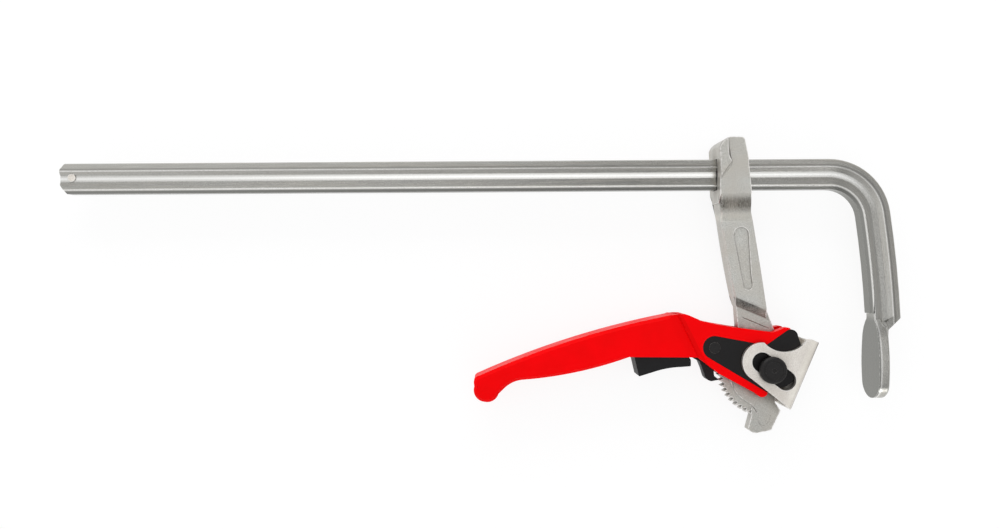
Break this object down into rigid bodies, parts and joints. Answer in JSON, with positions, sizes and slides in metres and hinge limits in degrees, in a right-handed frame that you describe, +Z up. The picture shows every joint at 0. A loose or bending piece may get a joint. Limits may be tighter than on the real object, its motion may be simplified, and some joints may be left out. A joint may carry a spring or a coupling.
{
  "type": "quick release bar clamp",
  "caption": "All-steel bar clamp: profiled rail with bent fixed jaw, sliding forged arm, ratchet lever with cam plates and a swivelling pressure bracket.",
  "frame": {"origin": "centre of the fixed jaw's clamping face", "axes": "+X along the rail from the lever to the fixed jaw, +Y from the jaws to the rail, +Z up off the bench the clamp lies on"},
  "size_m": [0.6112, 0.2144, 0.036],
  "materials": {
    "rail_steel": "bright plated, drawn lengthwise",
    "bright_pin": "bright, domed",
    "forged_steel": "satin galvanised forging, fine grain",
    "plated_plate": "satin zinc-plated sheet",
    "red_paint": "glossy red powder coat",
    "black_steel": "satin black",
    "black_plastic": "moulded, satin black",
    "spring_steel": "drawn wire"
  },
  "bodies": {
    "rail": {"rail_and_fixed_jaw": "rail_steel", "rail_stop_pin": "bright_pin"},
    "sliding_arm": {"sliding_arm": "forged_steel"},
    "lever": {"lever_handle": "red_paint", "cam_plate_front": "black_steel", "cam_plate_back": "black_steel", "pawl_pin": "black_steel", "pawl_spring": "spring_steel"},
    "pawl": {"pawl": "black_steel", "trigger_pad": "black_plastic"},
    "pivot_pin": {"pivot_pin": "black_steel", "pivot_pin_cap": "black_steel"},
    "bracket": {"pressure_bracket": "plated_plate"}
  },
  "joints": [
    {"name": "arm_slide", "type": "slide", "parent": "rail", "child": "sliding_arm", "axis": [1, 0, 0], "range_m": [-0.464, 0.04]},
    {"name": "lever_swing", "type": "hinge", "parent": "sliding_arm", "child": "lever", "pos_m": [-0.0772, -0.0062, 0], "axis": [0, 0, 1], "range_deg": [-7, 42]},
    {"name": "pawl_release", "type": "hinge", "parent": "lever", "child": "pawl", "pos_m": [-0.1172, 0.0095, 0], "axis": [0, 0, -1], "range_deg": [-7, 6], "stiffness_Nm_per_rad": 0.1},
    {"name": "bracket_swivel", "type": "hinge", "parent": "sliding_arm", "child": "pivot_pin", "pos_m": [-0.0772, -0.0062, 0], "axis": [0, 0, 1], "range_deg": [-2, 11.5]},
    {"name": "bracket_slide", "type": "slide", "parent": "pivot_pin", "child": "bracket", "axis": [0.7923, -0.6101, 0], "range_m": [-0.0042, 0.0007]}
  ],
  "couplings": [
    {"joint": "bracket_slide", "follows": "lever_swing", "m_per_rad": -0.005676}
  ]
}
